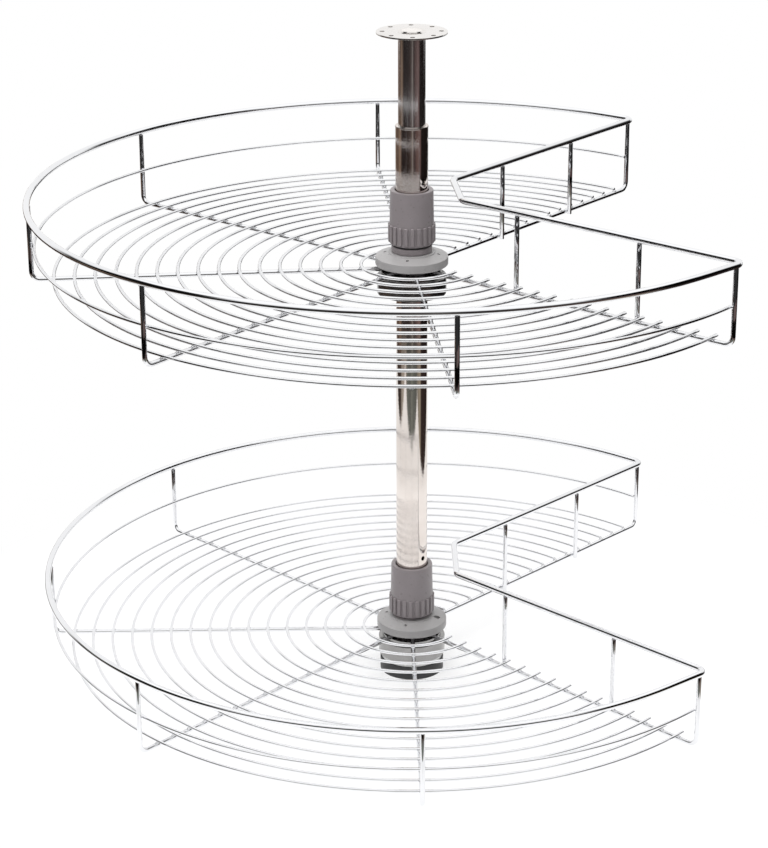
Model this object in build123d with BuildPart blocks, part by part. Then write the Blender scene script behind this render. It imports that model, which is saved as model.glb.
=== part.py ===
from build123d import *
from math import asin, cos, degrees, radians, sin, tan
import os

os.makedirs("parts", exist_ok=True)

# A two-tier corner carousel: two three-quarter-round wire shelves swivel on hubs that a grip nut
# clamps to a telescopic pole. The origin is on the pole's axis at the floor, and the lower
# shelf's notch lies between -Y and +X. All sizes are in millimetres.

# Wires of a shelf
rim_wire = 6.0
spoke_wire = 4.5
floor_wire = 3.0
wire_sides = 8                    # sides of a thick wire's section, with flats above, below and beside

# Outline of a shelf
rim_radius = 352.0                # centreline of the rim
rim_height = 73.6                 # above the spokes' axis
front_straight_angle = 7.0        # degrees of the rim beside its front corner that run straight
back_straight_angle = 3.0         # and beside its back corner
corner_bend_radius = 8.0
inner_bend_radius = 10.0
notch_offset = 4.5                # of the rim's notch edges from the two outer spokes
inner_flat_distance = 55.5        # from the axis to the ends of the flat across the notch's inner corner
mid_rail_height = 34.5            # above the spokes' axis
first_floor_wire_radius = 47.3
last_floor_wire_gap = 20.2        # of the outermost floor wire inside the posts
floor_count = 16
floor_overhang = 7.0              # of the floor wires past the front spoke
spoke_count = 7
shelf_angle = 270.0
spoke_inset = 2.0                 # of the spokes' inner ends from the hub's core
post_inset = 1.0                  # of the posts' axes inside the rim's
post_bend_radius = 8.0
front_posts = (3.74, 10.72)       # along the front notch edge, in floor pitches past the first wire
back_posts = (4.53, 10.46)

# The shelves on the pole
lower_spoke_height = 41.4         # height of the lower shelf's spokes above the floor
tier_spacing = 371.5
lower_turn = -90.0                # direction of a shelf's front spoke, in degrees
upper_turn = -85.6

# Pole
tube_radius = 15.0
tube_wall = 1.2
tube_top_height = 549.4
inner_tube_radius = 12.5
inner_tube_wall = 1.2
inner_tube_bottom_height = 205.0
pole_top_height = 635.8
guide_length = 30.0               # of the plastic guides between the two tubes
lip_height = 1.6
lip_overlap = 0.4                 # of the top guide's lip outside the tube
lock_height = 299.0               # of the grub screw that holds the inner tube
lock_angle = -136.5
lock_screw_radius = 2.5
lock_key_size = 2.5               # across the flats of the socket
lock_key_depth = 1.2
index_hole_radius = 2.3           # of the tube's holes for a stop pin
index_hole_gap = 9.0              # above each grip nut

# Top flange
flange_radius = 32.5
flange_sheet_thickness = 1.5
flange_neck_length = 14.0         # length of the neck inside the inner tube
flange_flare_radius = 5.5         # radius of the funnel where the neck opens into the plate
flange_holes = 8
flange_hole_radius = 2.25
flange_hole_circle_radius = 26.75

# Floor foot
foot_radius = 31.0
foot_height = 13.0
foot_floor_thickness = 3.0        # under the tube's end
foot_holes = 4
foot_hole_radius = 2.25
foot_screw_head_radius = 4.2      # radius of the countersink
foot_hole_circle_radius = 23.5
ring_radius = 30.0                # of the thrust ring on the foot

# Hub, with heights above the spokes' axis
core_radius = 17.4
core_ledge_radius = 27.0
core_ledge_height = 6.0           # height of the ledge at its foot
glide_radius = 22.5
core_top_height = 66.0
core_cone_length = 14.0           # length of the tapered fingers at the core's top
core_tip_wall = 1.0
core_slot_width = 1.6
core_slot_depth = 22.0
collar_radius = 19.0
collar_bottom_height = 17.0
hub_boss_radius = 28.5            # of the cup's top, under the spokes
hub_boss_height = 4.25
cup_radius = 32.5
cup_bottom_height = -23.3
cup_wall = 1.5
flange_foot_radius = 28.0
hub_flange_radius = 34.0
hub_flange_edge_height = 4.5      # height of the flange's rim, where its sloping underside ends
hub_flange_top_height = 12.2      # at its edge, where a low cone starts to rise
hub_cone_top_height = 15.4        # where the cone meets the step
hub_flange_bevel_width = 0.8
step_radius = 22.0                # of the step round the core, on the flange
hub_screws = 4
hub_screw_circle_radius = 25.3
hub_screw_radius = 1.5
hub_screw_head_radius = 3.0
hub_screw_head_height = 1.6
hub_screw_seat_height = 10.0      # of the heads, sunk in the flange
hub_screw_angle = 30.0            # of the first screw from the front spoke
screw_sides = 8

# Grip nuts, with heights above their own feet
lower_nut_foot_height = 19.1      # of the lower nut's foot above the spokes' axis
upper_nut_foot_height = 24.6      # and of the upper one's
nut_height = 51.4
nut_foot_radius = 20.3
nut_grip_start_height = 2.5       # where its foot's taper ends and the grip begins
nut_grip_end_height = 19.0
nut_shoulder_height = 2.5         # height of the slope from the grip to the body
nut_grip_radius = 22.1
nut_body_radius = 20.6
nut_top_radius = 20.0
nut_lip_width = 1.0               # bevel round its top
nut_mouth_gap = 0.7               # radial, between its mouth and the tube
nut_ribs = 22
nut_rib_width = 3.2
nut_rib_height = 0.8

# Clearances
turn_gap = 0.1                    # radial, of what turns on a shaft
fit_gap = 0.02                    # radial, of what is fixed on a tube
face_gap = 0.3                    # between faces that pass each other
slide_gap = 0.1                   # radial, of what slides along a tube

upper_spoke_height = lower_spoke_height + tier_spacing
post_radius = rim_radius - post_inset
floor_pitch = (post_radius - last_floor_wire_gap - first_floor_wire_radius) / (floor_count - 1)
spoke_step = shelf_angle / (spoke_count - 1)
spoke_top = spoke_wire / 2
nut_bore = core_radius + turn_gap
nut_feet = {
    "lower": lower_spoke_height + lower_nut_foot_height,
    "upper": upper_spoke_height + upper_nut_foot_height,
}


def save(piece, name):
    piece.part.label = name
    export_step(piece.part, f"parts/{name}.step")


def polar(radius, angle):
    return (radius * cos(radians(angle)), radius * sin(radians(angle)))


def upright(angle):
    """A vertical plane through the pole's axis, with x outwards along the angle and y upwards."""
    return Plane(origin=(0, 0, 0), x_dir=(*polar(1, angle), 0), z_dir=(*polar(1, angle - 90), 0))


def ring_profile(inner, outer, bottom, top):
    """A rectangle in an upright sketch, for a ring between two radii and two heights."""
    with Locations(((inner + outer) / 2, (bottom + top) / 2)):
        Rectangle(outer - inner, top - bottom)


def facing(angle, radius, height):
    """A plane that faces outwards from the pole's axis at a radius and a height."""
    return Plane(origin=(*polar(radius, angle), height), x_dir=(0, 0, 1), z_dir=(*polar(1, angle), 0))


def thick_wire(width):
    """A wire's section in the sketch that is open, with its flats square to the sketch's axes."""
    RegularPolygon(width / 2, wire_sides, major_radius=False, rotation=180 / wire_sides)


def wire_section(path, width):
    """A thick wire's section across the start of its path."""
    across = Plane(origin=path @ 0, x_dir=Vector(0, 0, 1).cross(path % 0), z_dir=path % 0)
    with BuildSketch(across) as section:
        thick_wire(width)
    return section.sketch


def round_band(radius, width, start, end):
    """A thin wire's outline from above, in the sketch that is open: an arc round the pole's axis."""
    with BuildLine() as outline:
        inner = CenterArc((0, 0), radius - width / 2, start, end - start)
        outer = CenterArc((0, 0), radius + width / 2, start, end - start)
        Line(inner @ 0, outer @ 0)
        Line(inner @ 1, outer @ 1)
    make_face(outline.edges())


def corner_distance(straight_angle):
    """Where a notch edge meets the rim, whose last degrees run straight, along the edge."""
    straight = radians(straight_angle)
    return rim_radius * cos(straight) + (rim_radius * sin(straight) + notch_offset) * tan(straight)


def make_rim(tier, spokes, turn):
    """The closed rim: a round, a short straight beside each corner, and the notch's three edges."""
    front_corner = corner_distance(front_straight_angle)
    back_corner = corner_distance(back_straight_angle)
    level = Plane((0, 0, spokes + rim_height)).rotated((0, 0, turn + 90))
    with BuildPart() as rim:
        with BuildLine(level) as path:
            round_part = CenterArc(
                (0, 0),
                rim_radius,
                back_straight_angle,
                shelf_angle - back_straight_angle - front_straight_angle,
            )
            FilletPolyline(
                round_part @ 1,
                (notch_offset, -front_corner),
                (notch_offset, -inner_flat_distance),
                (inner_flat_distance, -notch_offset),
                (back_corner, -notch_offset),
                round_part @ 0,
                radius=[corner_bend_radius, inner_bend_radius, inner_bend_radius, corner_bend_radius],
            )
        sweep(wire_section(path.wire(), rim_wire), path=path.wire())
    save(rim, f"{tier}_rim")


def make_mid_rail(tier, spokes, turn):
    """The rail half way up the side, inside the posts, from the front post to the back one."""
    radius = post_radius - spoke_wire / 2 - floor_wire / 2
    with BuildPart() as mid_rail:
        with BuildSketch(Plane.XY.offset(spokes + mid_rail_height - floor_wire / 2)):
            round_band(radius, floor_wire, turn - shelf_angle, turn)
        extrude(amount=floor_wire)
    save(mid_rail, f"{tier}_mid_rail")


def make_floor_wires(tier, spokes, turn):
    """The floor: round wires laid on the spokes, each a little past the front spoke."""
    with BuildPart() as floor:
        with BuildSketch(Plane.XY.offset(spokes + spoke_top)):
            for i in range(floor_count):
                radius = first_floor_wire_radius + i * floor_pitch
                past = degrees(asin(floor_overhang / radius))
                round_band(radius, floor_wire, turn - shelf_angle, turn + past)
        extrude(amount=floor_wire)
    save(floor, f"{tier}_floor_wires")


def make_spokes(tier, spokes, turn):
    """The spokes, each bent up at its outer end into a post that carries the rim."""
    post_top = spokes + rim_height - rim_wire / 2
    with BuildPart() as spoke_set:
        for i in range(spoke_count):
            with BuildLine(upright(turn - i * spoke_step)) as path:
                FilletPolyline(
                    (core_radius + spoke_inset, spokes),
                    (post_radius, spokes),
                    (post_radius, post_top),
                    radius=post_bend_radius,
                )
            sweep(wire_section(path.wire(), spoke_wire), path=path.wire())
    save(spoke_set, f"{tier}_spokes")


def make_edge_posts(tier, spokes, turn):
    """Short posts beside the two outer spokes, under the rim's notch edges."""
    front = [(first_floor_wire_radius + post * floor_pitch, notch_offset) for post in front_posts]
    back = [(notch_offset, first_floor_wire_radius + post * floor_pitch) for post in back_posts]
    with BuildPart() as posts:
        with BuildSketch(Plane((0, 0, spokes - spoke_top)).rotated((0, 0, turn))):
            with Locations(front + back):
                thick_wire(spoke_wire)
        extrude(amount=spoke_top + rim_height - rim_wire / 2)
    save(posts, f"{tier}_edge_posts")


def make_hub_cup(tier, spokes, turn):
    """The steel cup under the spokes, open below, that hides the hub's bearing."""
    boss_foot = -spoke_top - hub_boss_height
    with BuildPart() as cup:
        with BuildSketch(upright(turn)):
            with BuildLine():
                Polyline(
                    (core_radius + turn_gap, spokes - spoke_top - cup_wall),
                    (hub_boss_radius - cup_wall, spokes - spoke_top - cup_wall),
                    (hub_boss_radius - cup_wall, spokes + boss_foot - cup_wall),
                    (cup_radius - cup_wall, spokes + boss_foot - cup_wall),
                    (cup_radius - cup_wall, spokes + cup_bottom_height),
                    (cup_radius, spokes + cup_bottom_height),
                    (cup_radius, spokes + boss_foot),
                    (hub_boss_radius, spokes + boss_foot),
                    (hub_boss_radius, spokes - spoke_top),
                    (core_radius + turn_gap, spokes - spoke_top),
                    close=True,
                )
            make_face()
        revolve(axis=Axis.Z)
        with BuildSketch(Plane((0, 0, spokes - spoke_top)).rotated((0, 0, turn))):
            with PolarLocations(hub_screw_circle_radius, hub_screws, start_angle=hub_screw_angle):
                RegularPolygon(hub_screw_radius, screw_sides)
        extrude(amount=-cup_wall, mode=Mode.SUBTRACT)
    save(cup, f"{tier}_hub_cup")


def make_hub_flange(tier, spokes, turn):
    """The plastic flange that lies on the spokes, screwed through to the cup below them."""
    with BuildPart() as flange:
        with BuildSketch(upright(turn)):
            with BuildLine():
                Polyline(
                    (core_radius + turn_gap, spokes + spoke_top),
                    (flange_foot_radius, spokes + spoke_top),
                    (hub_flange_radius, spokes + hub_flange_edge_height),
                    (hub_flange_radius, spokes + hub_flange_top_height - hub_flange_bevel_width),
                    (hub_flange_radius - hub_flange_bevel_width, spokes + hub_flange_top_height),
                    (step_radius, spokes + hub_cone_top_height),
                    (step_radius, spokes + collar_bottom_height - face_gap),
                    (core_radius + turn_gap, spokes + collar_bottom_height - face_gap),
                    close=True,
                )
            make_face()
        revolve(axis=Axis.Z)
        with BuildSketch(Plane((0, 0, spokes + spoke_top)).rotated((0, 0, turn))):
            with PolarLocations(hub_screw_circle_radius, hub_screws, start_angle=hub_screw_angle):
                RegularPolygon(hub_screw_radius, screw_sides)
        extrude(amount=hub_cone_top_height, mode=Mode.SUBTRACT)
        with BuildSketch(Plane((0, 0, spokes + hub_screw_seat_height)).rotated((0, 0, turn))):
            with PolarLocations(hub_screw_circle_radius, hub_screws, start_angle=hub_screw_angle):
                RegularPolygon(hub_screw_head_radius + fit_gap, screw_sides)
        extrude(amount=hub_cone_top_height, mode=Mode.SUBTRACT)
    save(flange, f"{tier}_hub_flange")


def make_hub_screws(tier, spokes, turn):
    """The screws that clamp the spokes between flange and cup, with sunk heads."""
    seat = spokes + hub_screw_seat_height
    tip = spokes - spoke_top - cup_wall
    with BuildPart() as screws:
        with BuildSketch(Plane((0, 0, seat)).rotated((0, 0, turn))):
            with PolarLocations(hub_screw_circle_radius, hub_screws, start_angle=hub_screw_angle):
                RegularPolygon(hub_screw_head_radius, screw_sides)
        extrude(amount=hub_screw_head_height)
        with BuildSketch(Plane((0, 0, tip)).rotated((0, 0, turn))):
            with PolarLocations(hub_screw_circle_radius, hub_screws, start_angle=hub_screw_angle):
                RegularPolygon(hub_screw_radius - fit_gap, screw_sides)
        extrude(amount=seat - tip)
    save(screws, f"{tier}_hub_screws")


def make_core(tier, spokes, turn):
    """The sleeve on the pole that a shelf turns on, with a ledge below and clamping fingers above."""
    bore = tube_radius + slide_gap
    with BuildPart() as core:
        with BuildSketch(upright(turn)):
            with BuildLine():
                Polyline(
                    (bore, spokes + cup_bottom_height),
                    (core_ledge_radius, spokes + cup_bottom_height),
                    (core_ledge_radius, spokes + cup_bottom_height + core_ledge_height),
                    (core_radius, spokes + cup_bottom_height + core_ledge_height),
                    (core_radius, spokes + core_top_height - core_cone_length),
                    (bore + core_tip_wall, spokes + core_top_height),
                    (bore, spokes + core_top_height),
                    close=True,
                )
            make_face()
        revolve(axis=Axis.Z)
        with BuildSketch(Plane((0, 0, spokes + core_top_height)).rotated((0, 0, turn))):
            Rectangle(3 * core_radius, core_slot_width)
            Rectangle(core_slot_width, 3 * core_radius)
        extrude(amount=-core_slot_depth, mode=Mode.SUBTRACT)
    save(core, f"{tier}_hub_core")


def make_glide_ring(tier, spokes, turn):
    """The slippery ring on the core's ledge that the cup's top rests and turns on."""
    with BuildPart() as ring:
        with BuildSketch(upright(turn)):
            ring_profile(
                core_radius + fit_gap,
                glide_radius,
                spokes + cup_bottom_height + core_ledge_height,
                spokes - spoke_top - cup_wall - turn_gap,
            )
        revolve(axis=Axis.Z)
    save(ring, f"{tier}_glide_ring")


def make_collar(tier, spokes, turn):
    """The ring fixed on the core above the flange, which keeps the shelf from lifting off."""
    with BuildPart() as collar:
        with BuildSketch(upright(turn)):
            ring_profile(
                core_radius + fit_gap,
                collar_radius,
                spokes + collar_bottom_height,
                nut_feet[tier] - face_gap,
            )
        revolve(axis=Axis.Z)
    save(collar, f"{tier}_hub_collar")


def make_lock_nut(tier, spokes, turn):
    """The fluted grip nut whose inner cone squeezes the core's fingers on the tube."""
    foot = nut_feet[tier]
    top = foot + nut_height
    cone_start = spokes + core_top_height - core_cone_length
    mouth = tube_radius + nut_mouth_gap
    tip_radius = tube_radius + slide_gap + core_tip_wall
    with BuildPart() as nut:
        with BuildSketch(upright(turn)):
            with BuildLine():
                Polyline(
                    (nut_bore, foot),
                    (nut_foot_radius, foot),
                    (nut_grip_radius - nut_rib_height, foot + nut_grip_start_height),
                    (nut_grip_radius - nut_rib_height, foot + nut_grip_end_height - nut_shoulder_height),
                    (nut_body_radius, foot + nut_grip_end_height),
                    (nut_top_radius, top - nut_lip_width),
                    (nut_top_radius - nut_lip_width, top),
                    (mouth, top),
                    (mouth, spokes + core_top_height + face_gap),
                    (tip_radius + turn_gap, spokes + core_top_height + face_gap),
                    (nut_bore, cone_start + face_gap),
                    close=True,
                )
            make_face()
        revolve(axis=Axis.Z)
        with BuildSketch(Plane((0, 0, foot + nut_grip_start_height)).rotated((0, 0, turn))):
            with PolarLocations(nut_grip_radius - nut_rib_height, nut_ribs):
                Rectangle(2 * nut_rib_height, nut_rib_width)
        extrude(amount=nut_grip_end_height - nut_shoulder_height - nut_grip_start_height)
    save(nut, f"{tier}_lock_nut")


def make_shelf(tier, spokes, turn):
    for make in (
        make_rim, make_mid_rail, make_floor_wires, make_spokes, make_edge_posts,
        make_hub_cup, make_hub_flange, make_hub_screws,
        make_core, make_glide_ring, make_collar, make_lock_nut,
    ):
        make(tier, spokes, turn)


make_shelf("lower", lower_spoke_height, lower_turn)
make_shelf("upper", upper_spoke_height, upper_turn)

# Floor foot: a round block with a socket for the tube and countersunk holes for wood screws
with BuildPart() as floor_foot:
    Cylinder(foot_radius, foot_height, align=(Align.CENTER, Align.CENTER, Align.MIN))
    with BuildSketch(Plane.XY.offset(foot_floor_thickness)):
        Circle(tube_radius + fit_gap)
    extrude(amount=foot_height, mode=Mode.SUBTRACT)
    with Locations((0, 0, foot_height)):
        with PolarLocations(foot_hole_circle_radius, foot_holes, start_angle=180 / foot_holes):
            CounterSinkHole(foot_hole_radius, foot_screw_head_radius)
save(floor_foot, "floor_foot")

# Thrust ring: lies on the foot, just under the lower hub
with BuildPart() as thrust_ring:
    with BuildSketch(Plane.XY.offset(foot_height)):
        Circle(ring_radius)
        Circle(tube_radius + turn_gap, mode=Mode.SUBTRACT)
    extrude(amount=lower_spoke_height + cup_bottom_height - face_gap - foot_height)
save(thrust_ring, "thrust_ring")

# Outer tube: from the foot's socket to the lip of the top guide
tube_bore = tube_radius - tube_wall
with BuildPart() as outer_tube:
    with BuildSketch(Plane.XY.offset(foot_floor_thickness)):
        Circle(tube_radius)
        Circle(tube_bore, mode=Mode.SUBTRACT)
    extrude(amount=tube_top_height - lip_height - foot_floor_thickness)
    with BuildSketch(facing(lower_turn, 0, nut_height + index_hole_gap)):
        with Locations([(nut_foot, 0) for nut_foot in nut_feet.values()]):
            Circle(index_hole_radius)
    extrude(amount=2 * tube_radius, both=True, mode=Mode.SUBTRACT)
    with BuildSketch(facing(lock_angle, 0, lock_height)):
        Circle(lock_screw_radius + turn_gap)
    extrude(amount=2 * tube_radius, mode=Mode.SUBTRACT)
save(outer_tube, "outer_tube")

# Top guide: a bush in the outer tube's mouth, whose bright lip covers the tube's end
with BuildPart() as top_guide:
    with BuildSketch(Plane.XY.offset(tube_top_height - lip_height)):
        Circle(tube_radius + lip_overlap)
        Circle(inner_tube_radius + slide_gap, mode=Mode.SUBTRACT)
    extrude(amount=lip_height)
    with BuildSketch(Plane.XY.offset(tube_top_height - lip_height)):
        Circle(tube_bore - fit_gap)
        Circle(inner_tube_radius + slide_gap, mode=Mode.SUBTRACT)
    extrude(amount=-guide_length)
save(top_guide, "top_guide")

# Inner tube: slides in the outer one and carries the top flange
inner_tube_top = pole_top_height - flange_flare_radius
inner_tube_bore = inner_tube_radius - inner_tube_wall
with BuildPart() as inner_tube:
    with BuildSketch(Plane.XY.offset(inner_tube_bottom_height)):
        Circle(inner_tube_radius)
        Circle(inner_tube_bore, mode=Mode.SUBTRACT)
    extrude(amount=inner_tube_top - inner_tube_bottom_height)
save(inner_tube, "inner_tube")

# Bottom guide: a bush on the inner tube's lower end, with a rim under the tube
with BuildPart() as bottom_guide:
    with BuildSketch(Plane.XY.offset(inner_tube_bottom_height)):
        Circle(tube_bore - slide_gap)
        Circle(inner_tube_radius + fit_gap, mode=Mode.SUBTRACT)
    extrude(amount=guide_length)
    with BuildSketch(Plane.XY.offset(inner_tube_bottom_height)):
        Circle(tube_bore - slide_gap)
        Circle(inner_tube_bore, mode=Mode.SUBTRACT)
    extrude(amount=-lip_height)
save(bottom_guide, "bottom_guide")

# Lock screw: a grub screw through the outer tube's wall, which presses on the inner tube
lock_length = tube_radius - inner_tube_radius - 2 * face_gap
with BuildPart() as lock_screw:
    with BuildSketch(facing(lock_angle, inner_tube_radius + face_gap, lock_height)):
        Circle(lock_screw_radius)
    extrude(amount=lock_length)
    with BuildSketch(facing(lock_angle, tube_radius - face_gap, lock_height)):
        RegularPolygon(lock_key_size / 2, 6, major_radius=False)
    extrude(amount=-lock_key_depth, mode=Mode.SUBTRACT)
save(lock_screw, "lock_screw")

# Top flange: a pressed plate with a funnel that runs down inside the inner tube
neck_radius = inner_tube_bore - fit_gap
neck_foot = pole_top_height - flange_neck_length
plate_foot = pole_top_height - flange_sheet_thickness
with BuildPart() as top_flange:
    with BuildSketch(Plane.XZ):
        with BuildLine():
            under = Polyline(
                (neck_radius, neck_foot),
                (neck_radius, pole_top_height - flange_flare_radius),
                (neck_radius + flange_flare_radius - flange_sheet_thickness, plate_foot),
                (flange_radius, plate_foot),
            )
            over = Polyline(
                (neck_radius - flange_sheet_thickness, neck_foot),
                (neck_radius - flange_sheet_thickness, pole_top_height - flange_flare_radius),
                (neck_radius - flange_sheet_thickness + flange_flare_radius, pole_top_height),
                (flange_radius, pole_top_height),
            )
            Line(under @ 0, over @ 0)
            Line(under @ 1, over @ 1)
        make_face()
    revolve(axis=Axis.Z)
    with BuildSketch(Plane.XY.offset(pole_top_height)):
        with PolarLocations(flange_hole_circle_radius, flange_holes, start_angle=lower_turn + 45):
            Circle(flange_hole_radius)
    extrude(amount=-2 * flange_sheet_thickness, mode=Mode.SUBTRACT)
save(top_flange, "top_flange")
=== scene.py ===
import math

import bmesh
import bpy
from mathutils import Matrix, Vector


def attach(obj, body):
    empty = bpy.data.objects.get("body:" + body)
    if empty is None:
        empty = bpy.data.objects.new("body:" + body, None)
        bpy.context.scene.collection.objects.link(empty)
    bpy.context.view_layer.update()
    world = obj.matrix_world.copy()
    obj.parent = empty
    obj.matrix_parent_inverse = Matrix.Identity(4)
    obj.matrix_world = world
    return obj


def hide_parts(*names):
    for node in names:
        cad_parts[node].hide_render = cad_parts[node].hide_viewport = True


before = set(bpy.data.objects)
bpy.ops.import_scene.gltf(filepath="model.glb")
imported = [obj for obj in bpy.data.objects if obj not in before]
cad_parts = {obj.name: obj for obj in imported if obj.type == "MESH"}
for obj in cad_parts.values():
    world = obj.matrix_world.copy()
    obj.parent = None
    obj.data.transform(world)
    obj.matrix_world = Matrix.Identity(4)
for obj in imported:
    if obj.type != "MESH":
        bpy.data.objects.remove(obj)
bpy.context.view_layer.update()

mm = 0.001


# Camera
# The photograph is a studio shot from a little above the upper shelf, with a
# long lens, so the shelves' far and near sides look nearly the same size.
lens = bpy.data.cameras.new("studio_camera")
lens.sensor_width = 36
lens.lens = 105.1
lens.shift_x = -0.0325
camera = bpy.data.objects.new("studio_camera", lens)
camera.location = (-1.601, -1.519, 1.107)
camera.rotation_euler = (math.radians(68.93), 0, math.radians(-46.5))
bpy.context.scene.collection.objects.link(camera)
bpy.context.scene.camera = camera
bpy.context.scene.view_settings.view_transform = "Standard"


# Studio
# The shelf stands on a strip of white paper that lies on brown boards, in a
# room with white walls and soft light overhead. The chrome shows all of it,
# and its dark lines are the boards and mat beyond the paper and two unlit corners.
def linear(hex_colour):
    """A colour for a node, from its usual six-figure name."""
    parts = [int(hex_colour[i:i + 2], 16) / 255 for i in (1, 3, 5)]
    return (*[p / 12.92 if p <= 0.04045 else ((p + 0.055) / 1.055) ** 2.4 for p in parts], 1)


def add(tree, kind, inputs=None, **settings):
    """A shader node with its settings, and its inputs as values or as other nodes' outputs."""
    made = tree.nodes.new("ShaderNode" + kind)
    for name, value in settings.items():
        setattr(made, name, value)
    for socket, value in (inputs or {}).items():
        if isinstance(value, bpy.types.NodeSocket):
            tree.links.new(value, made.inputs[socket])
        else:
            made.inputs[socket].default_value = value
    return made


def blend(tree, share, first_hex, second_hex):
    """A colour that goes from the first to the second with the share."""
    mixed = add(tree, "Mix", {0: share, 6: linear(first_hex), 7: linear(second_hex)}, data_type="RGBA")
    return mixed.outputs[2]


def spread(tree, value, low, high, least, most):
    """A value between low and high, spread from least to most."""
    return add(tree, "MapRange", {"Value": value, "From Min": low, "From Max": high,
                                  "To Min": least, "To Max": most}).outputs["Result"]


def material(name):
    """An empty node material and its tree."""
    made = bpy.data.materials.new(name)
    made.use_nodes = True
    made.node_tree.nodes.clear()
    return made, made.node_tree


def keep(bm, name, paint, crease=35):
    """The finished piece of a bmesh: smooth faces that meet in sharp edges, and one material."""
    mesh = bpy.data.meshes.new(name)
    bm.to_mesh(mesh)
    bm.free()
    mesh.polygons.foreach_set("use_smooth", [True] * len(mesh.polygons))
    mesh.set_sharp_from_angle(angle=math.radians(crease))
    mesh.materials.append(paint)
    piece = bpy.data.objects.new(name, mesh)
    bpy.context.scene.collection.objects.link(piece)
    return piece


floor_radius = 3000 * mm
paper_left = 690 * mm             # from the pole to the paper's left edge
paper_right = 520 * mm
paper_front = 620 * mm            # and to its edge before the pole
paper_back = 1250 * mm            # and to its end behind it
shadow_start = 380 * mm           # where the paper's own light begins to cover the shadow
shadow_end = 530 * mm
least_glow = 0.55                 # share of that light at the pole
camera_turn = math.radians(-43.5)
paper, tree = material("white_paper_on_brown_boards")
place = add(tree, "TexCoord").outputs["Object"]
from_camera = add(tree, "Mapping", {"Vector": place, "Rotation": (0, 0, camera_turn)}).outputs[0]
depth, beside = add(tree, "SeparateXYZ", {0: from_camera}).outputs[:2]
left_half = add(tree, "Math", {0: beside, 1: paper_left}, operation="LESS_THAN").outputs[0]
right_half = add(tree, "Math", {0: beside, 1: -paper_right}, operation="GREATER_THAN").outputs[0]
within = add(tree, "Math", {0: left_half, 1: right_half}, operation="MULTIPLY").outputs[0]
before_end = add(tree, "Math", {0: depth, 1: paper_back}, operation="LESS_THAN").outputs[0]
behind_edge = add(tree, "Math", {0: depth, 1: -paper_front}, operation="GREATER_THAN").outputs[0]
along = add(tree, "Math", {0: before_end, 1: behind_edge}, operation="MULTIPLY").outputs[0]
on_paper = add(tree, "Math", {0: within, 1: along}, operation="MULTIPLY").outputs[0]
off_paper = add(tree, "Math", {0: 1.0, 1: on_paper}, operation="SUBTRACT").outputs[0]
mirrored = add(tree, "LightPath").outputs["Is Glossy Ray"]
boards = add(tree, "Math", {0: off_paper, 1: mirrored}, operation="MULTIPLY").outputs[0]
from_middle = add(tree, "VectorMath", {0: place}, operation="LENGTH").outputs["Value"]
fade = add(tree, "MapRange", {"Value": from_middle, "From Min": shadow_start, "From Max": shadow_end},
           interpolation_type="SMOOTHSTEP").outputs["Result"]
fade = add(tree, "Math", {0: fade, 1: least_glow}, operation="MAXIMUM").outputs[0]
fibre = add(tree, "TexNoise", {"Vector": place, "Scale": 40.0, "Detail": 3.0}).outputs["Fac"]
tone = blend(tree, fibre, "#f9f9fa", "#fefefe")
matt = add(tree, "BsdfDiffuse", {"Color": tone}).outputs[0]
glow = add(tree, "Emission", {"Color": linear("#ffffff"), "Strength": 1.0}).outputs[0]
sheet = add(tree, "MixShader", {0: fade, 1: matt, 2: glow}).outputs[0]
# The boards and low furniture near and far, as bands of colour round the pole from straight
# behind it to straight behind it, with the camera's side at 0.5 and the left above that
forward = add(tree, "Math", {0: depth, 1: -1.0}, operation="MULTIPLY").outputs[0]
bearing = add(tree, "Math", {0: beside, 1: forward}, operation="ARCTAN2").outputs[0]
share = spread(tree, bearing, -math.pi, math.pi, 0.0, 1.0)
near_stops = (
    (0.0, "#8d7868"), (0.12, "#2b2423"), (0.3, "#3a2f2d"), (0.33, "#a39a8a"), (0.37, "#8c8578"),
    (0.41, "#5e615d"), (0.47, "#6d716c"), (0.5, "#7d807a"), (0.53, "#656863"), (0.59, "#6d716c"),
    (0.62, "#b5aea4"), (0.71, "#a8a096"), (0.75, "#3a312e"), (0.9, "#4a4038"), (1.0, "#8d7868"),
)
far_stops = (
    (0.0, "#14100f"), (0.3, "#1d1716"), (0.34, "#7a6462"), (0.42, "#5a4846"), (0.46, "#3b3130"),
    (0.485, "#8f8783"), (0.505, "#5d5451"), (0.55, "#3a302e"), (0.6, "#2e2625"), (0.7, "#2b2423"),
    (0.76, "#8d7868"), (0.82, "#5a4a41"), (1.0, "#8d7868"),
)
ramps = []
for stops in (near_stops, far_stops):
    ramp = add(tree, "ValToRGB", {0: share})
    for place_on_ramp, _ in stops[1:-1]:
        ramp.color_ramp.elements.new(place_on_ramp)
    for stop, (place_on_ramp, colour) in zip(ramp.color_ramp.elements, stops):
        stop.position = place_on_ramp
        stop.color = linear(colour)
    ramps.append(ramp.outputs[0])
far = add(tree, "MapRange", {"Value": from_middle, "From Min": 0.85, "From Max": 1.1},
          interpolation_type="SMOOTHSTEP").outputs["Result"]
wood = add(tree, "Mix", {0: far, 6: ramps[0], 7: ramps[1]}, data_type="RGBA").outputs[2]
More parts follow.
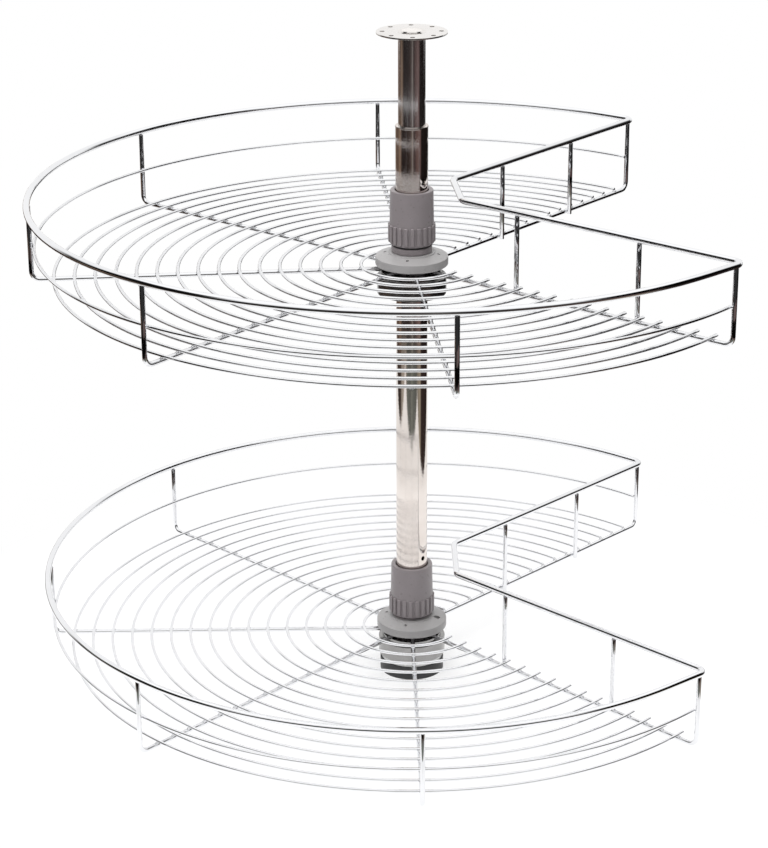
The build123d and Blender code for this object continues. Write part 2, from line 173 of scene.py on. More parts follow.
# A dark mat on them, 1.2 to 1.8 m from the pole
mat_start = spread(tree, from_middle, 1.15, 1.25, 0.0, 1.0)
mat_end = spread(tree, from_middle, 1.85, 1.75, 0.0, 1.0)
mat = add(tree, "Math", {0: mat_start, 1: mat_end}, operation="MULTIPLY").outputs[0]
wood = add(tree, "Mix", {0: mat, 6: wood, 7: linear("#060505")}, data_type="RGBA").outputs[2]
stained = add(tree, "Emission", {"Color": wood, "Strength": 1.0}).outputs[0]
surface = add(tree, "MixShader", {0: boards, 1: sheet, 2: stained}).outputs[0]
add(tree, "OutputMaterial", {"Surface": surface})
bm = bmesh.new()
bmesh.ops.create_circle(bm, cap_ends=True, segments=96, radius=floor_radius)
keep(bm, "paper_and_boards", paper)

world = bpy.data.worlds.new("white_studio")
world.use_nodes = True
bpy.context.scene.world = world
tree = world.node_tree
tree.nodes.clear()
path = add(tree, "LightPath")
way = add(tree, "TexCoord").outputs["Generated"]
turned = add(tree, "Mapping", {"Vector": way, "Rotation": (0, 0, camera_turn)}).outputs[0]
back, left, up = add(tree, "SeparateXYZ", {0: turned}).outputs
front = add(tree, "Math", {0: back, 1: -1.0}, operation="MULTIPLY").outputs[0]
bearing = add(tree, "Math", {0: left, 1: front}, operation="ARCTAN2").outputs[0]
# Unlit corners of the room between the lit walls, one on each side
lit = spread(tree, up, 0.2, 0.5, 0.03, 1.0)
unlit_corners = ((-79, 24, 0.01), (82, 23, 0.03))   # bearing and half width in degrees, light left
corner_edge = 6
for middle, half_width, deepest in unlit_corners:
    offset = add(tree, "Math", {0: bearing, 1: math.radians(middle)}, operation="SUBTRACT").outputs[0]
    apart = add(tree, "Math", {0: offset}, operation="ABSOLUTE").outputs[0]
    wall = add(tree, "MapRange", {"Value": apart, "From Min": math.radians(half_width - corner_edge),
                                  "From Max": math.radians(half_width + corner_edge),
                                  "To Min": deepest, "To Max": 1.0},
               interpolation_type="SMOOTHSTEP").outputs["Result"]
    lit = add(tree, "Math", {0: lit, 1: wall}, operation="MULTIPLY").outputs[0]
overhead = add(tree, "MapRange", {"Value": up, "From Min": 0.58, "From Max": 0.7, "To Max": 1.15},
               interpolation_type="SMOOTHSTEP").outputs["Result"]
backdrop = add(tree, "MapRange", {"Value": back, "From Min": 0.35, "From Max": 0.6},
               interpolation_type="SMOOTHSTEP").outputs["Result"]
above = add(tree, "Math", {0: lit, 1: overhead}, operation="MAXIMUM").outputs[0]
shown = add(tree, "Math", {0: above, 1: backdrop}, operation="MAXIMUM").outputs[0]
seen = path.outputs["Is Camera Ray"]
strength = add(tree, "Mix", {0: seen, 2: shown, 3: 1.0}, data_type="FLOAT").outputs[0]
sky = add(tree, "Background", {"Color": linear("#ffffff"), "Strength": strength}).outputs[0]
add(tree, "OutputWorld", {"Surface": sky})

aim = Vector((0, 0, 0.3))
lamps = (
    ("top_softbox", (-0.5, -0.3, 2.2), 1.5, 26),      # its place, size and power
    ("left_softbox", (-1.9, 0.6, 1.3), 1.1, 11),
)
for name, spot, size, power in lamps:
    lamp = bpy.data.lights.new(name, "AREA")
    lamp.shape = "SQUARE"
    lamp.size = size
    lamp.energy = power
    light = bpy.data.objects.new(name, lamp)
    light.location = spot
    light.rotation_euler = (aim - Vector(spot)).to_track_quat("-Z", "Y").to_euler()
    light.visible_glossy = False
    bpy.context.scene.collection.objects.link(light)


# Rims
# Steel wire of 6 mm, bent to three quarters of a circle with a square notch for
# the cupboard's doors, butt welded and then plated with bright chrome.
rim_radius = 352 * mm
rim_height = 73.6 * mm
rim_wire = 6 * mm
notch_offset = 4.5 * mm
inner_flat = 55.5 * mm
front_straight = 7                # degrees of the rim beside its front corner that run straight
back_straight = 3                 # and beside its back corner
corner_bend = 8 * mm
inner_bend = 10 * mm
bend_error = 0.06 * mm            # of a bend's facets from the true round
# Each shelf's name, the height of its spokes and the direction of its front spoke
tiers = (("lower", 41.4 * mm, -90.0), ("upper", 412.9 * mm, -85.6))


def chrome(name, bright_hex, dull_hex, haze):
    """Bright chrome plate: a mirror with a cool tint, faint haze and handling marks."""
    made, tree = material(name)
    place = add(tree, "TexCoord").outputs["Object"]
    # Polishing haze in patches of 20 to 30 mm
    patches = add(tree, "TexNoise", {"Vector": place, "Scale": 45.0, "Detail": 3.0,
                                     "Roughness": 0.6}).outputs["Fac"]
    tone = blend(tree, patches, bright_hex, dull_hex)
    # Fingerprints and rub marks, 3 to 5 mm across
    marks = add(tree, "TexNoise", {"Vector": place, "Scale": 260.0, "Detail": 4.0,
                                   "Distortion": 0.6}).outputs["Fac"]
    rough = spread(tree, marks, 0.35, 0.8, haze, haze + 0.05)
    # Drawing lines and orange peel under the plate, drawn coarser than they are
    peel = add(tree, "TexNoise", {"Vector": place, "Scale": 700.0, "Detail": 2.0}).outputs["Fac"]
    bump = add(tree, "Bump", {"Height": peel, "Strength": 0.08, "Distance": 0.0002}).outputs[0]
    skin = add(tree, "BsdfPrincipled", {"Base Color": tone, "Metallic": 1.0, "Roughness": rough,
                                        "Normal": bump})
    add(tree, "OutputMaterial", {"Surface": skin.outputs[0]})
    return made


def draw_wire(bm, place, heading, up, width, sides, moves):
    """A round wire along its line: a move is a straight length, or the radius and the angle of a bend."""
    place, heading, up = Vector(place), Vector(heading).normalized(), Vector(up)
    end = Matrix.Translation(place) @ heading.to_track_quat("Z", "Y").to_matrix().to_4x4()
    ring = bmesh.ops.create_circle(bm, segments=sides, radius=width / 2, matrix=end)["verts"]
    edges = list({edge for vert in ring for edge in vert.link_edges})
    for move in moves:
        if isinstance(move, tuple):
            radius, angle = move[0], math.radians(move[1])
            centre = place + up.cross(heading) * math.copysign(radius, angle)
            steps = math.ceil(abs(angle) / (2 * math.acos(1 - bend_error / radius)))
            made = bmesh.ops.spin(bm, geom=ring + edges, cent=centre, axis=up, angle=angle, steps=steps)
            last = made["geom_last"]
            turn = Matrix.Rotation(angle, 3, up)
            place, heading = centre + turn @ (place - centre), turn @ heading
        else:
            made = bmesh.ops.extrude_edge_only(bm, edges=edges)
            ring = [part for part in made["geom"] if isinstance(part, bmesh.types.BMVert)]
            bmesh.ops.translate(bm, verts=ring, vec=heading * move)
            last = ring + [part for part in made["geom"] if isinstance(part, bmesh.types.BMEdge)
                           and all(vert in ring for vert in part.verts)]
            place = place + heading * move
        ring = [part for part in last if isinstance(part, bmesh.types.BMVert)]
        edges = [part for part in last if isinstance(part, bmesh.types.BMEdge)]


def close_ends(bm, chamfer):
    """Caps the wires' cut ends, with the edge that a cropper leaves."""
    edges = [edge for edge in bm.edges if edge.is_boundary]
    bmesh.ops.holes_fill(bm, edges=edges, sides=0)
    bmesh.ops.bevel(bm, geom=edges, offset=chamfer, segments=2, profile=0.5, affect="EDGES", material=-1)
    bmesh.ops.recalc_face_normals(bm, faces=bm.faces)


def placed(bm, height, angle):
    """Turns and lifts a shelf's piece that was made at the origin."""
    turn = Matrix.Translation((0, 0, height)) @ Matrix.Rotation(math.radians(angle), 4, "Z")
    bmesh.ops.transform(bm, matrix=turn, verts=bm.verts)


rim_chrome = chrome("chrome_plated_rim", "#f5f5f7", "#e8e9eb", 0.012)


def corner_run(straight):
    """Beside a corner: its distance from the pole, its bend's length and the straight before the bend."""
    angle = math.radians(straight)
    reach = rim_radius * math.cos(angle) + (rim_radius * math.sin(angle) + notch_offset) * math.tan(angle)
    cut = corner_bend * math.tan(math.radians(90 + straight) / 2)
    return reach, cut, (rim_radius * math.sin(angle) + notch_offset) / math.cos(angle) - cut


front_reach, front_cut, beside_front = corner_run(front_straight)
back_reach, back_cut, beside_back = corner_run(back_straight)
inner_cut = inner_bend * math.tan(math.radians(45 / 2))
notch_flat = (inner_flat - notch_offset) * math.sqrt(2) - 2 * inner_cut
first_turn = Matrix.Rotation(math.radians(back_straight), 3, "Z")
for tier, spokes, turn in tiers:
    bm = bmesh.new()
    start = first_turn @ Vector((rim_radius, 0, 0))
    heading = first_turn @ Vector((0, 1, 0))
    draw_wire(bm, start, heading, (0, 0, 1), rim_wire, 18, [
        (rim_radius, 270 - front_straight - back_straight), beside_front,
        (corner_bend, 90 + front_straight), front_reach - inner_flat - front_cut - inner_cut,
        (inner_bend, -45), notch_flat, (inner_bend, -45),
        back_reach - inner_flat - back_cut - inner_cut, (corner_bend, 90 + back_straight), beside_back,
    ])
    bmesh.ops.remove_doubles(bm, verts=bm.verts, dist=0.01 * mm)
    bmesh.ops.recalc_face_normals(bm, faces=bm.faces)
    placed(bm, spokes + rim_height, turn + 90)
    rim = keep(bm, tier + "_round_rim", rim_chrome)
    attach(rim, tier + "_shelf")
    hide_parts(tier + "_rim")


# Middle rails
# Thin wire, half way up the round side and inside the posts, spot welded to
# each of them.
rail_height = 34.5 * mm
rail_radius = 347.25 * mm
rail_wire = 3 * mm
thin_chrome = chrome("chrome_plated_thin_wire", "#f4f4f6", "#e6e7e9", 0.015)
for tier, spokes, turn in tiers:
    bm = bmesh.new()
    draw_wire(bm, (rail_radius, 0, 0), (0, 1, 0), (0, 0, 1), rail_wire, 12, [(rail_radius, 270)])
    close_ends(bm, 0.25 * mm)
    placed(bm, spokes + rail_height, turn - 270)
    rail = keep(bm, tier + "_side_rail", thin_chrome)
    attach(rail, tier + "_shelf")
    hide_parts(tier + "_mid_rail")


# Floor wires
# Sixteen thin wires in circles, laid on the spokes and spot welded to each
# one, which leaves a small bead at each crossing. Their cropped ends run a
# little past the front spoke.
floor_wire = 3 * mm
first_radius = 47.3 * mm
pitch = 18.9 * mm
floor_level = 2.25 * mm + floor_wire / 2
floor_overhang = 7 * mm
weld_height = 2.1 * mm            # above the spokes' axis, just under the wires
for tier, spokes, turn in tiers:
    bm = bmesh.new()
    for i in range(16):
        radius = first_radius + i * pitch
        past = math.degrees(math.asin(floor_overhang / radius))
        draw_wire(bm, (radius, 0, 0), (0, 1, 0), (0, 0, 1), floor_wire, 12, [(radius, 270 + past)])
    close_ends(bm, 0.3 * mm)
    for i in range(16):
        for spoke in range(7):
            spot = Matrix.Rotation(math.radians(45 * spoke), 4, "Z") @ Matrix.Translation(
                (first_radius + i * pitch, 0, weld_height - floor_level))
            bead = Matrix.Diagonal((2.3 * mm, 1.9 * mm, 1.1 * mm, 1))
            bmesh.ops.create_icosphere(bm, subdivisions=2, radius=1, matrix=spot @ bead)
    placed(bm, spokes + floor_level, turn - 270)
    floor = keep(bm, tier + "_circular_wires", thin_chrome)
    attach(floor, tier + "_shelf")
    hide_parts(tier + "_floor_wires")


# Spokes
# Wire of 4.5 mm from under the hub's flange to the rim, each bent up at its
# outer end into a post, and welded under the rim.
spoke_wire = 4.5 * mm
spoke_start = 19.4 * mm
post_radius = 351 * mm
post_bend = 8 * mm
post_top = rim_height - rim_wire / 2
spoke_chrome = chrome("chrome_plated_spoke", "#f4f4f6", "#e6e7e9", 0.015)
for tier, spokes, turn in tiers:
    bm = bmesh.new()
    for i in range(7):
        angle = math.radians(turn - 45 * i)
        out = Vector((math.cos(angle), math.sin(angle), 0))
        draw_wire(bm, out * spoke_start + Vector((0, 0, spokes)), out, out.cross((0, 0, 1)), spoke_wire, 16, [
            post_radius - post_bend - spoke_start, (post_bend, 90), post_top - post_bend,
        ])
    close_ends(bm, 0.3 * mm)
    spoke_set = keep(bm, tier + "_spokes_and_posts", spoke_chrome)
    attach(spoke_set, tier + "_shelf")
    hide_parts(tier + "_spokes")


# Edge posts
# Short posts of spoke wire beside the two outer spokes, welded between them
# and the rim's notch edges.
front_posts = (3.74, 10.72)
back_posts = (4.53, 10.46)
for tier, spokes, turn in tiers:
    bm = bmesh.new()
    spots = [(first_radius + post * pitch, notch_offset) for post in front_posts]
    spots += [(notch_offset, first_radius + post * pitch) for post in back_posts]
    post_length = post_top + spoke_wire / 2
    for x, y in spots:
        draw_wire(bm, (x, y, -spoke_wire / 2), (0, 0, 1), (1, 0, 0), spoke_wire, 16, [post_length])
    close_ends(bm, 0.5 * mm)
    placed(bm, spokes, turn)
    edge_posts = keep(bm, tier + "_notch_posts", spoke_chrome)
    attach(edge_posts, tier + "_shelf")
    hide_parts(tier + "_edge_posts")


# Outer tube
# Chromed steel tube of 30 mm, with a drilled hole above each nut for a stop
# pin and a tapped hole for the grub screw that holds the inner tube.
def lathe(profile, steps, chamfer=0.0, crease=30):
    """A turned piece from its closed profile of radii and heights, with its sharp edges broken."""
    bm = bmesh.new()
    corners = [bm.verts.new((radius * mm, 0, height * mm)) for radius, height in profile]
    sides = [bm.edges.new((corners[i - 1], corners[i])) for i in range(len(corners))]
    bmesh.ops.spin(bm, geom=corners + sides, cent=(0, 0, 0), axis=(0, 0, 1), angle=math.tau, steps=steps,
                   use_merge=True)
    bmesh.ops.remove_doubles(bm, verts=bm.verts, dist=0.001 * mm)
    bmesh.ops.recalc_face_normals(bm, faces=bm.faces)
    if chamfer:
        sharp = [edge for edge in bm.edges if edge.calc_face_angle(0) > math.radians(crease)]
        bmesh.ops.bevel(bm, geom=sharp, offset=chamfer * mm, segments=2, profile=0.5, affect="EDGES",
                        material=-1)
    return bm


def true_sides(piece):
    """Keeps a turned piece's long sides straight in shade, up to its broken edges."""
    weighted = piece.modifiers.new("true_sides", "WEIGHTED_NORMAL")
    weighted.keep_sharp = True
    weighted.weight = 100


def drill(piece, holes):
    """Cuts round holes: each has its centre, direction, radius and length on both sides."""
    bm = bmesh.new()
    for centre, way, radius, reach in holes:
        turned_way = Vector(way).to_track_quat("Z", "Y").to_matrix().to_4x4()
        at = Matrix.Translation(Vector(centre) * mm) @ turned_way
        bmesh.ops.create_cone(bm, cap_ends=True, segments=32, radius1=radius * mm, radius2=radius * mm,
                              depth=2 * reach * mm, matrix=at)
    cutter = keep(bm, "drill", piece.data.materials[0])
    cut = piece.modifiers.new("holes", "BOOLEAN")
    cut.operation = "DIFFERENCE"
    cut.solver = "EXACT"
    cut.object = cutter
    shape = piece.evaluated_get(bpy.context.evaluated_depsgraph_get())
    mesh = bpy.data.meshes.new_from_object(shape)
    piece.modifiers.clear()
    piece.data = mesh
    mesh.set_sharp_from_angle(angle=math.radians(30))
    bpy.data.objects.remove(cutter)


# Its warm tint is painted reflection: the warm colour of the room that the tube shows.
tube_chrome = chrome("chrome_plated_tube", "#ebe4df", "#d6ccc5", 0.045)
# Sizes of the turned pieces, all in millimetres
tube_radius = 15
tube_bore = 13.8
tube_foot = 3
tube_top = 547.8
stop_hole = 2.3                   # radius of the holes for a stop pin
stop_hole_gap = 9                 # of these holes above the nuts
lock_hole = 2.6                   # radius of the grub screw's hole
lock_height = 299
nut_height = 51.4
round_steps = 96
bm = lathe([
    (tube_bore, tube_foot), (tube_radius, tube_foot), (tube_radius, tube_top), (tube_bore, tube_top),
], round_steps)
outer_tube = keep(bm, "outer_pole_tube", tube_chrome)
across = Vector((0, -1, 0))
screw_way = Vector((math.cos(math.radians(-136.5)), math.sin(math.radians(-136.5)), 0))
nut_feet = {"lower": 41.4 + 19.1, "upper": 412.9 + 24.6}
drill(outer_tube, [
    ((0, 0, nut_feet["lower"] + nut_height + stop_hole_gap), across, stop_hole, 2 * tube_radius),
    ((0, 0, nut_feet["upper"] + nut_height + stop_hole_gap), across, stop_hole, 2 * tube_radius),
    (screw_way * tube_radius + Vector((0, 0, lock_height)), screw_way, lock_hole, 4),
])
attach(outer_tube, "pole")
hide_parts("outer_tube")


# Top guide
# A plated bush in the outer tube's mouth. Its rolled lip shows as a bright
# ring round the inner tube.
bush_bore = 12.6
bush_radius = 13.78
bush_foot = 517.8
lip_radius = 15.4
lip_top = 549.4
bm = lathe([
    (bush_bore, bush_foot), (bush_radius, bush_foot), (bush_radius, tube_top), (lip_radius, tube_top),
    (lip_radius, lip_top), (bush_bore, lip_top),
], round_steps, 0.4)
lip = keep(bm, "tube_mouth_bush", tube_chrome)
true_sides(lip)
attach(lip, "pole")
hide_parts("top_guide")


# Inner tube
# Chromed steel tube of 25 mm that slides in the outer one, so its plate has
# fine scratches along it.
sliding_chrome, tree = material("chrome_plated_sliding_tube")
place = add(tree, "TexCoord").outputs["Object"]
patches = add(tree, "TexNoise", {"Vector": place, "Scale": 45.0, "Detail": 3.0}).outputs["Fac"]
# The faint warm tint here is painted reflection of the room's warm colour too.
tone = blend(tree, patches, "#efedec", "#d2cecc")
# Scratches a third of a millimetre apart and tens of millimetres long
along = add(tree, "Mapping", {"Vector": place, "Scale": (1.0, 1.0, 0.01)}).outputs[0]
scratch = add(tree, "TexNoise", {"Vector": along, "Scale": 3000.0, "Detail": 2.0}).outputs["Fac"]
rough = spread(tree, scratch, 0.4, 0.75, 0.07, 0.2)
bump = add(tree, "Bump", {"Height": scratch, "Strength": 0.06, "Distance": 0.0001}).outputs[0]
skin = add(tree, "BsdfPrincipled", {"Base Color": tone, "Metallic": 1.0, "Roughness": rough,
                                    "Normal": bump})
add(tree, "OutputMaterial", {"Surface": skin.outputs[0]})
inner_bore = 11.3
inner_radius = 12.5
inner_foot = 205
inner_top = 630.3
bm = lathe([
    (inner_bore, inner_foot), (inner_radius, inner_foot), (inner_radius, inner_top), (inner_bore, inner_top),
], round_steps, 0.2)
inner_tube = keep(bm, "inner_pole_tube", sliding_chrome)
true_sides(inner_tube)
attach(inner_tube, "inner_pole")
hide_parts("inner_tube")


# Top flange
# A pressed and plated steel plate for screws into the cupboard's top, with a
# neck that is drawn down into the inner tube.
plate_chrome = chrome("satin_plated_flange", "#f4f1ee", "#e2deda", 0.16)
flare = [math.radians(15 * i) for i in range(7)]
neck_foot = 621.8
neck_radius = 11.28
neck_bore = 9.78
flare_centre = 15.28              # distance from the axis of the flare's centre, level with the tube's end
flare_under = 4
flare_over = 5.5
plate_radius = 32.5
plate_foot = 634.3
plate_top = 635.8
plate_screw_circle = 26.75
plate_hole = 2.25
under = [(flare_centre - flare_under * math.cos(a), inner_top + flare_under * math.sin(a)) for a in flare]
over = [(flare_centre - flare_over * math.cos(a), inner_top + flare_over * math.sin(a))
        for a in reversed(flare)]
bm = lathe([
    (neck_radius, neck_foot), *under, (plate_radius, plate_foot), (plate_radius, plate_top), *over,
    (neck_bore, neck_foot),
], round_steps, 0.2)
top_flange = keep(bm, "top_screw_plate", plate_chrome)
circle = [math.radians(-45 + 45 * i) for i in range(8)]
spots = [(plate_screw_circle * math.cos(a), plate_screw_circle * math.sin(a)) for a in circle]
drill(top_flange, [((x, y, plate_top), (0, 0, 1), plate_hole, 6) for x, y in spots])
true_sides(top_flange)
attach(top_flange, "inner_pole")
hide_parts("top_flange")


# Hub flanges
# Moulded plastic flanges that clamp the spokes from above, lighter than the
# nuts, with sunk holes for the four screws.
def grey_plastic(name, first_hex, second_hex, cloud_scale, rub_scale, smoothest):
    """Moulded plastic with clouds of colour, a fine grain and patches that dust and hands have dulled."""
    made, tree = material(name)
    place = add(tree, "TexCoord").outputs["Object"]
    cloud = add(tree, "TexNoise", {"Vector": place, "Scale": cloud_scale, "Detail": 3.0}).outputs["Fac"]
    tone = blend(tree, cloud, first_hex, second_hex)
    # Dust and rub marks, 4 to 5 mm across
    rub = add(tree, "TexNoise", {"Vector": place, "Scale": rub_scale, "Detail": 4.0,
                                 "Roughness": 0.65}).outputs["Fac"]
    rough = spread(tree, rub, 0.3, 0.75, smoothest, 0.42)
    # Spark-eroded mould grain, half a millimetre, drawn coarser than it is
    cells = add(tree, "TexVoronoi", {"Vector": place, "Scale": 1900.0}, feature="SMOOTH_F1")
    grain = cells.outputs["Distance"]
    bump = add(tree, "Bump", {"Height": grain, "Strength": 0.035, "Distance": 0.0002}).outputs[0]
    skin = add(tree, "BsdfPrincipled", {"Base Color": tone, "Roughness": rough, "IOR": 1.5, "Normal": bump})
    add(tree, "OutputMaterial", {"Surface": skin.outputs[0]})
    return made


moulded = grey_plastic("moulded_grey_flange_plastic", "#939191", "#9f9d9d", 60.0, 220.0, 0.26)
hub_bore = 17.5
flange_foot_radius = 28
flange_radius = 34
step_radius = 22
spoke_top = 2.25                  # this and the next heights are above the spokes' axis
flange_edge = 4.5
flange_top = 12.2
cone_top = 15.4
step_top = 16.7
hub_screw_circle = 25.3
for tier, spokes, turn in tiers:
    h = spokes / mm
    bm = lathe([
        (hub_bore, h + spoke_top), (flange_foot_radius, h + spoke_top), (flange_radius, h + flange_edge),
        (flange_radius, h + flange_top), (step_radius, h + cone_top), (step_radius, h + step_top),
        (hub_bore, h + step_top),
    ], round_steps, 0.7)
    hub_flange = keep(bm, tier + "_spoke_flange", moulded)
    turns = [math.radians(turn + 30 + 90 * i) for i in range(4)]
    spots = [(hub_screw_circle * math.cos(a), hub_screw_circle * math.sin(a)) for a in turns]
    heads = [((x, y, h + 13), (0, 0, 1), 3.02, 3) for x, y in spots]
    shanks = [((x, y, h + 10), (0, 0, 1), 1.5, 12) for x, y in spots]
    drill(hub_flange, heads + shanks)
    true_sides(hub_flange)
    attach(hub_flange, tier + "_shelf")
    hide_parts(tier + "_hub_flange")


# Grip nuts
# Moulded plastic nuts with rounded ribs for the fingers round their foot and
# a plain, slightly tapered body above.
nut_plastic = grey_plastic("moulded_grey_nut_plastic", "#7d7678", "#8a8385", 50.0, 240.0, 0.25)
nut_foot_radius = 20.3
nut_groove_radius = 20.4          # between the ribs
nut_body_radius = 20.6
nut_top_radius = 20
nut_mouth = 15.7
nut_cone_top = 16.2
nut_ribs = 22
rib_radius = 20.8                 # of the ribs' middles
rib_depth = 2.6
rib_width = 3.7
rib_length = 17.2
rib_middle = 10.4                 # above the nut's foot
core_top_height = 66              # above the spokes' axis
cone_length = 13.7
for tier, spokes, turn in tiers:
    h = nut_feet[tier]
    core_top = spokes / mm + core_top_height
    bm = lathe([
        (hub_bore, h), (nut_foot_radius, h), (nut_groove_radius, h + 2.5), (nut_groove_radius, h + 16.5),
        (nut_body_radius, h + 19), (nut_top_radius, h + nut_height), (nut_mouth, h + nut_height),
        (nut_mouth, core_top + 0.3), (nut_cone_top, core_top + 0.3), (hub_bore, core_top - cone_length),
    ], 132, 0.9, 20)
    for i in range(nut_ribs):
        around = Matrix.Rotation(math.radians(turn + 360 / nut_ribs * i), 4, "Z")
        spot = around @ Matrix.Translation((rib_radius * mm, 0, (h + rib_middle) * mm))
        block = Matrix.Diagonal((rib_depth * mm, rib_width * mm, rib_length * mm, 1))
        rib = bmesh.ops.create_cube(bm, size=1, matrix=spot @ block)["verts"]
        edges = list({edge for vert in rib for edge in vert.link_edges})
        bmesh.ops.bevel(bm, geom=edges, offset=0.95 * mm, segments=3, profile=0.5, affect="EDGES",
                        material=-1)
    nut = keep(bm, tier + "_grip_nut", nut_plastic, 40)
    true_sides(nut)
    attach(nut, tier + "_nut")
    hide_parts(tier + "_lock_nut")


# Hub cups
# Pressed steel cups under the spokes, plated bright, that hide the bearing.
cup_steel, tree = material("plated_cup_steel")
place = add(tree, "TexCoord").outputs["Object"]
patches = add(tree, "TexNoise", {"Vector": place, "Scale": 60.0, "Detail": 4.0}).outputs["Fac"]
tone = blend(tree, patches, "#a9a8a7", "#8c8b8a")
# Turning lines round the cup, a third of a millimetre apart
round_lines = add(tree, "Mapping", {"Vector": place, "Scale": (0.02, 0.02, 1.0)}).outputs[0]
lines = add(tree, "TexNoise", {"Vector": round_lines, "Scale": 3000.0, "Detail": 2.0}).outputs["Fac"]
rough = spread(tree, lines, 0.35, 0.7, 0.14, 0.28)
bump = add(tree, "Bump", {"Height": lines, "Strength": 0.1, "Distance": 0.0001}).outputs[0]
skin = add(tree, "BsdfPrincipled", {"Base Color": tone, "Metallic": 1.0, "Roughness": rough,
                                    "Normal": bump})
add(tree, "OutputMaterial", {"Surface": skin.outputs[0]})
cup_radius = 32.5
cup_foot = -23.3                  # this and the next heights are above the spokes' axis
cup_shoulder = -6.5
boss_radius = 28.5
cup_wall = 1.5
for tier, spokes, turn in tiers:
    h = spokes / mm
    bm = lathe([
        (hub_bore, h - spoke_top - cup_wall), (boss_radius - cup_wall, h - spoke_top - cup_wall),
        (boss_radius - cup_wall, h + cup_shoulder - cup_wall),
        (cup_radius - cup_wall, h + cup_shoulder - cup_wall),
        (cup_radius - cup_wall, h + cup_foot), (cup_radius, h + cup_foot), (cup_radius, h + cup_shoulder),
        (boss_radius, h + cup_shoulder), (boss_radius, h - spoke_top), (hub_bore, h - spoke_top),
    ], round_steps, 0.5)
    cup = keep(bm, tier + "_bearing_cup", cup_steel)
    true_sides(cup)
    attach(cup, tier + "_shelf")
    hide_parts(tier + "_hub_cup")


# Cores and collars
# Each hub's sleeve is hidden. The grey collar on it shows between flange and
# nut, under a near-black ring that is painted shadow of the gap under the nut's foot.
# Painted shadow: a near-black ring that fills the gap under each nut, where shade falls.
gap_shadow_black, tree = material("black_rubber_washer")
place = add(tree, "TexCoord").outputs["Object"]
mottle = add(tree, "TexNoise", {"Vector": place, "Scale": 300.0, "Detail": 3.0}).outputs["Fac"]
tone = blend(tree, mottle, "#141314", "#232122")
rough = spread(tree, mottle, 0.3, 0.7, 0.6, 0.75)
bump = add(tree, "Bump", {"Height": mottle, "Strength": 0.1, "Distance": 0.0001}).outputs[0]
skin = add(tree, "BsdfPrincipled", {"Base Color": tone, "Roughness": rough, "IOR": 1.52, "Normal": bump})
add(tree, "OutputMaterial", {"Surface": skin.outputs[0]})
collar_bore = 17.42
collar_radius = 19
collar_foot = 17                  # above the spokes' axis
gap_shadow_ring_radius = 18.3
gap_shadow_ring_thickness = 1.6            # or half of what there is under the nut, if that is less
for tier, spokes, turn in tiers:
    foot = spokes / mm + collar_foot
    top = nut_feet[tier] - 0.3
    seat = top - min(gap_shadow_ring_thickness, (top - foot) / 2)
    bm = lathe([
        (collar_bore, foot), (collar_radius, foot), (collar_radius, seat), (collar_bore, seat),
    ], round_steps, 0.3)
    collar = keep(bm, tier + "_collar", nut_plastic)
    bm = lathe([
        (collar_bore, seat), (gap_shadow_ring_radius, seat), (gap_shadow_ring_radius, top), (collar_bore, top),
    ], round_steps, 0.2)
    gap_shadow_ring = keep(bm, tier + "_washer", gap_shadow_black)
    for piece, finish in ((collar, "grey_plastic"), (gap_shadow_ring, "black_plastic")):
        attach(piece, tier + "_hub")
    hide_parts(tier + "_hub_collar")
    bpy.data.objects[tier + "_hub_core"].material_slots[0].material = nut_plastic


# Foot
# A round block moulded in black plastic, screwed to the cupboard's floor.
foot_plastic, tree = material("moulded_black_foot_plastic")
place = add(tree, "TexCoord").outputs["Object"]
cloud = add(tree, "TexNoise", {"Vector": place, "Scale": 60.0, "Detail": 3.0}).outputs["Fac"]
tone = blend(tree, cloud, "#232324", "#323234")
rub = add(tree, "TexNoise", {"Vector": place, "Scale": 240.0, "Detail": 4.0}).outputs["Fac"]
rough = spread(tree, rub, 0.3, 0.75, 0.38, 0.6)
grain = add(tree, "TexVoronoi", {"Vector": place, "Scale": 1700.0}).outputs["Distance"]
bump = add(tree, "Bump", {"Height": grain, "Strength": 0.15, "Distance": 0.0002}).outputs[0]
skin = add(tree, "BsdfPrincipled", {"Base Color": tone, "Roughness": rough, "IOR": 1.5, "Normal": bump})
add(tree, "OutputMaterial", {"Surface": skin.outputs[0]})
bpy.data.objects["floor_foot"].material_slots[0].material = foot_plastic


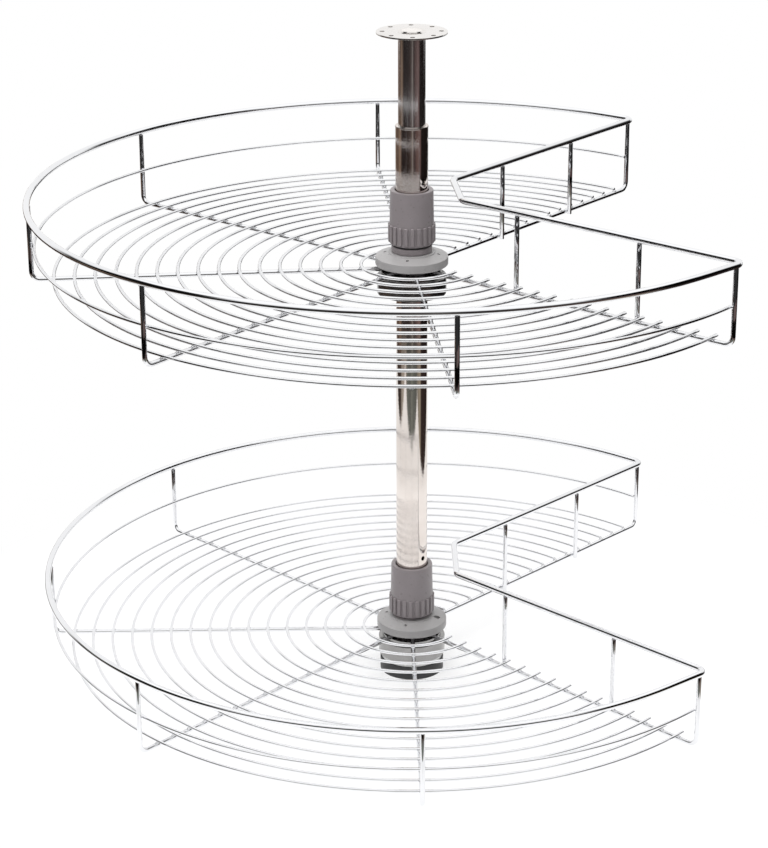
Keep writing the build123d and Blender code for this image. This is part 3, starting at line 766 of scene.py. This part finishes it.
# Bearing rings and guide
# Slippery nylon, hidden in the hubs and the pole.
nylon, tree = material("natural_nylon_ring")
place = add(tree, "TexCoord").outputs["Object"]
cloud = add(tree, "TexNoise", {"Vector": place, "Scale": 70.0, "Detail": 3.0}).outputs["Fac"]
tone = blend(tree, cloud, "#e4e0d4", "#d6d1c4")
rough = spread(tree, cloud, 0.3, 0.7, 0.4, 0.55)
grain = add(tree, "TexNoise", {"Vector": place, "Scale": 1500.0}).outputs["Fac"]
bump = add(tree, "Bump", {"Height": grain, "Strength": 0.1, "Distance": 0.0002}).outputs[0]
skin = add(tree, "BsdfPrincipled", {"Base Color": tone, "Roughness": rough, "IOR": 1.53, "Normal": bump})
add(tree, "OutputMaterial", {"Surface": skin.outputs[0]})
for name in ("lower_glide_ring", "upper_glide_ring", "bottom_guide"):
    bpy.data.objects[name].material_slots[0].material = nylon


# Thrust ring and screws
# Zinc plated steel for the washer that the lower hub runs on and for the grub
# screw in the pole. The screws sunk in the hubs are blackened.
steels = (
    ("zinc_plated_steel", "#cfd0d0", "#b4b4b2", 0.22),
    ("blackened_screw_steel", "#2b2a2a", "#1d1c1c", 0.35),
)
for name, bright_hex, dull_hex, lowest in steels:
    _, tree = material(name)
    place = add(tree, "TexCoord").outputs["Object"]
    patches = add(tree, "TexNoise", {"Vector": place, "Scale": 90.0, "Detail": 4.0}).outputs["Fac"]
    tone = blend(tree, patches, bright_hex, dull_hex)
    rub = add(tree, "TexNoise", {"Vector": place, "Scale": 500.0, "Detail": 3.0}).outputs["Fac"]
    rough = spread(tree, rub, 0.3, 0.75, lowest, lowest + 0.18)
    bump = add(tree, "Bump", {"Height": rub, "Strength": 0.08, "Distance": 0.0001}).outputs[0]
    skin = add(tree, "BsdfPrincipled", {"Base Color": tone, "Metallic": 1.0, "Roughness": rough,
                                        "Normal": bump})
    add(tree, "OutputMaterial", {"Surface": skin.outputs[0]})
for name in ("thrust_ring", "lock_screw"):
    bpy.data.objects[name].material_slots[0].material = bpy.data.materials["zinc_plated_steel"]
for name in ("lower_hub_screws", "upper_hub_screws"):
    bpy.data.objects[name].material_slots[0].material = bpy.data.materials["blackened_screw_steel"]
